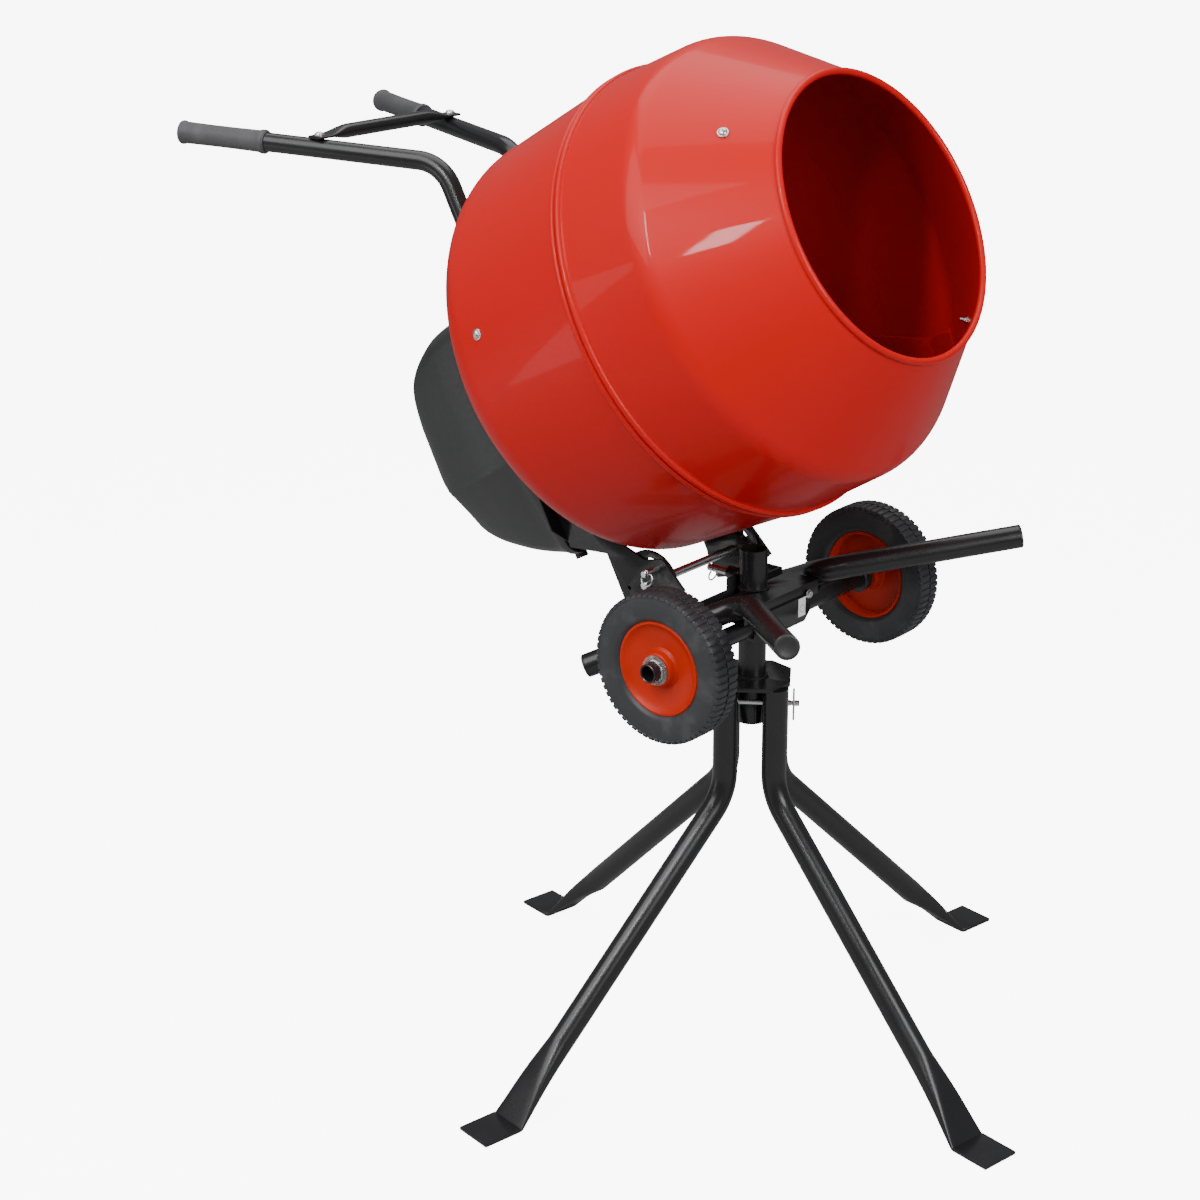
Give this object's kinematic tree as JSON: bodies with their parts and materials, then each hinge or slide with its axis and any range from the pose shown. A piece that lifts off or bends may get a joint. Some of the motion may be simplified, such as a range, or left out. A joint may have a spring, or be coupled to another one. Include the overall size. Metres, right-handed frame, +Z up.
{
  "type": "concrete mixer",
  "caption": "Tilting-drum electric concrete mixer on a splayed stand, with tow wheels, push handles and a rear motor cover.",
  "frame": {"origin": "on the ground, on the axis of the upright post that the mixer turns on", "axes": "+X towards the drum's mouth, +Y along the wheel axle, +Z up"},
  "size_m": [1.3622, 0.9662, 1.3761],
  "materials": {
    "black_frame_paint": "gloss",
    "zinc_plated_steel": "satin",
    "bright_steel": "satin",
    "red_drum_paint": "gloss",
    "grip_rubber": "matte",
    "tyre_rubber": "matte",
    "red_rim_plastic": "satin",
    "black_plastic": "matte",
    "nylon": "matte",
    "cover_plastic": "satin",
    "clear_plastic": "gloss",
    "belt_rubber": "matte",
    "cast_aluminium": "matte",
    "cast_iron": "matte",
    "green_plastic": "gloss",
    "red_plastic": "gloss"
  },
  "bodies": {
    "stand": {"stand_head": "black_frame_paint", "stand_spigot": "black_frame_paint", "leg_front_left": "black_frame_paint", "leg_front_right": "black_frame_paint", "leg_rear_left": "black_frame_paint", "leg_rear_right": "black_frame_paint", "post_seat_washer": "black_plastic"},
    "stand_pin": {"stand_cross_pin": "zinc_plated_steel"},
    "clip": {"r_clip": "zinc_plated_steel"},
    "mixer_frame": {"upright_post": "black_frame_paint", "cross_tube": "black_frame_paint", "axle_bracket": "black_frame_paint", "wheel_axle": "black_frame_paint", "axle_end_washers": "clear_plastic", "foot_tube_left": "black_frame_paint", "foot_tube_right": "black_frame_paint", "foot_tube_plugs": "black_plastic", "pivot_web": "black_frame_paint", "pivot_lug_left": "black_frame_paint", "pivot_lug_right": "black_frame_paint", "tilt_pivot_bar": "zinc_plated_steel"},
    "lock_pin": {"swivel_lock_pin": "zinc_plated_steel"},
    "wheel_left": {"tyre_left": "tyre_rubber", "rim_left": "red_rim_plastic", "wheel_bush_left": "nylon"},
    "wheel_right": {"tyre_right": "tyre_rubber", "rim_right": "red_rim_plastic", "wheel_bush_right": "nylon"},
    "tilt_unit": {"yoke_arm_left": "black_frame_paint", "yoke_arm_right": "black_frame_paint", "back_plate": "black_frame_paint", "bearing_housing": "black_frame_paint", "drum_bearings": "bright_steel", "layshaft_stub": "bright_steel", "motor_body": "cast_aluminium", "drive_belt": "belt_rubber", "motor_cover": "cover_plastic", "cover_screws": "zinc_plated_steel", "cord_gland": "black_plastic", "switch_box": "black_plastic", "handle_left": "black_frame_paint", "handle_right": "black_frame_paint", "grip_left": "grip_rubber", "grip_right": "grip_rubber", "handle_clamps": "black_frame_paint", "cross_brace": "black_frame_paint", "cross_brace_bolts": "zinc_plated_steel"},
    "stop_pin": {"tilt_stop_pin": "zinc_plated_steel"},
    "drum": {"drum_rear_shell": "red_drum_paint", "drum_front_cone": "red_drum_paint", "drum_seam_band": "red_drum_paint", "drum_shaft": "bright_steel", "drum_gear": "cast_iron", "drum_screws": "zinc_plated_steel", "mixing_paddle_1": "red_drum_paint", "mixing_paddle_2": "red_drum_paint"},
    "layshaft": {"layshaft_pulley_and_pinion": "cast_aluminium"},
    "motor_rotor": {"motor_shaft_and_pulley": "bright_steel"},
    "start_button": {"start_button": "green_plastic"},
    "stop_button": {"stop_button": "red_plastic"}
  },
  "joints": [
    {"name": "stand_pin_pull", "type": "slide", "parent": "stand", "child": "stand_pin", "axis": [0.8241, 0.5664, 0], "range_m": [0, 0.11]},
    {"name": "clip_pull", "type": "slide", "parent": "stand_pin", "child": "clip", "axis": [0, 0, 1], "range_m": [0, 0.045]},
    {"name": "swivel", "type": "hinge", "parent": "stand", "child": "mixer_frame", "pos_m": [0, 0, 0.6], "axis": [0, 0, 1], "continuous": true},
    {"name": "lock_pin_pull", "type": "slide", "parent": "mixer_frame", "child": "lock_pin", "axis": [-1, 0, 0], "range_m": [0, 0.012]},
    {"name": "wheel_left_spin", "type": "hinge", "parent": "mixer_frame", "child": "wheel_left", "pos_m": [0.035, 0.23, 0.622], "axis": [0, 1, 0], "continuous": true},
    {"name": "wheel_right_spin", "type": "hinge", "parent": "mixer_frame", "child": "wheel_right", "pos_m": [0.035, -0.23, 0.622], "axis": [0, 1, 0], "continuous": true},
    {"name": "drum_tilt", "type": "hinge", "parent": "mixer_frame", "child": "tilt_unit", "pos_m": [-0.103, 0, 0.663], "axis": [0, 1, 0], "range_deg": [-35, 10]},
    {"name": "stop_pin_pull", "type": "slide", "parent": "tilt_unit", "child": "stop_pin", "axis": [0, -1, 0], "range_m": [0, 0.02]},
    {"name": "drum_spin", "type": "hinge", "parent": "tilt_unit", "child": "drum", "pos_m": [-0.042, 0, 1.058], "axis": [0.8829, 0, 0.4695], "continuous": true},
    {"name": "layshaft_spin", "type": "hinge", "parent": "tilt_unit", "child": "layshaft", "pos_m": [0.01105, 0, 0.95823], "axis": [0.8829, 0, 0.4695], "continuous": true},
    {"name": "motor_spin", "type": "hinge", "parent": "tilt_unit", "child": "motor_rotor", "pos_m": [-0.042, 0, 1.058], "axis": [0.8829, 0, 0.4695], "continuous": true},
    {"name": "start_button_press", "type": "slide", "parent": "tilt_unit", "child": "start_button", "axis": [0, -1, 0], "range_m": [0, 0.003], "stiffness_N_per_m": 400},
    {"name": "stop_button_press", "type": "slide", "parent": "tilt_unit", "child": "stop_button", "axis": [0, -1, 0], "range_m": [0, 0.003], "stiffness_N_per_m": 400}
  ],
  "couplings": [
    {"joint": "layshaft_spin", "follows": "drum_spin", "ratio": -7},
    {"joint": "motor_spin", "follows": "drum_spin", "ratio": -42}
  ]
}
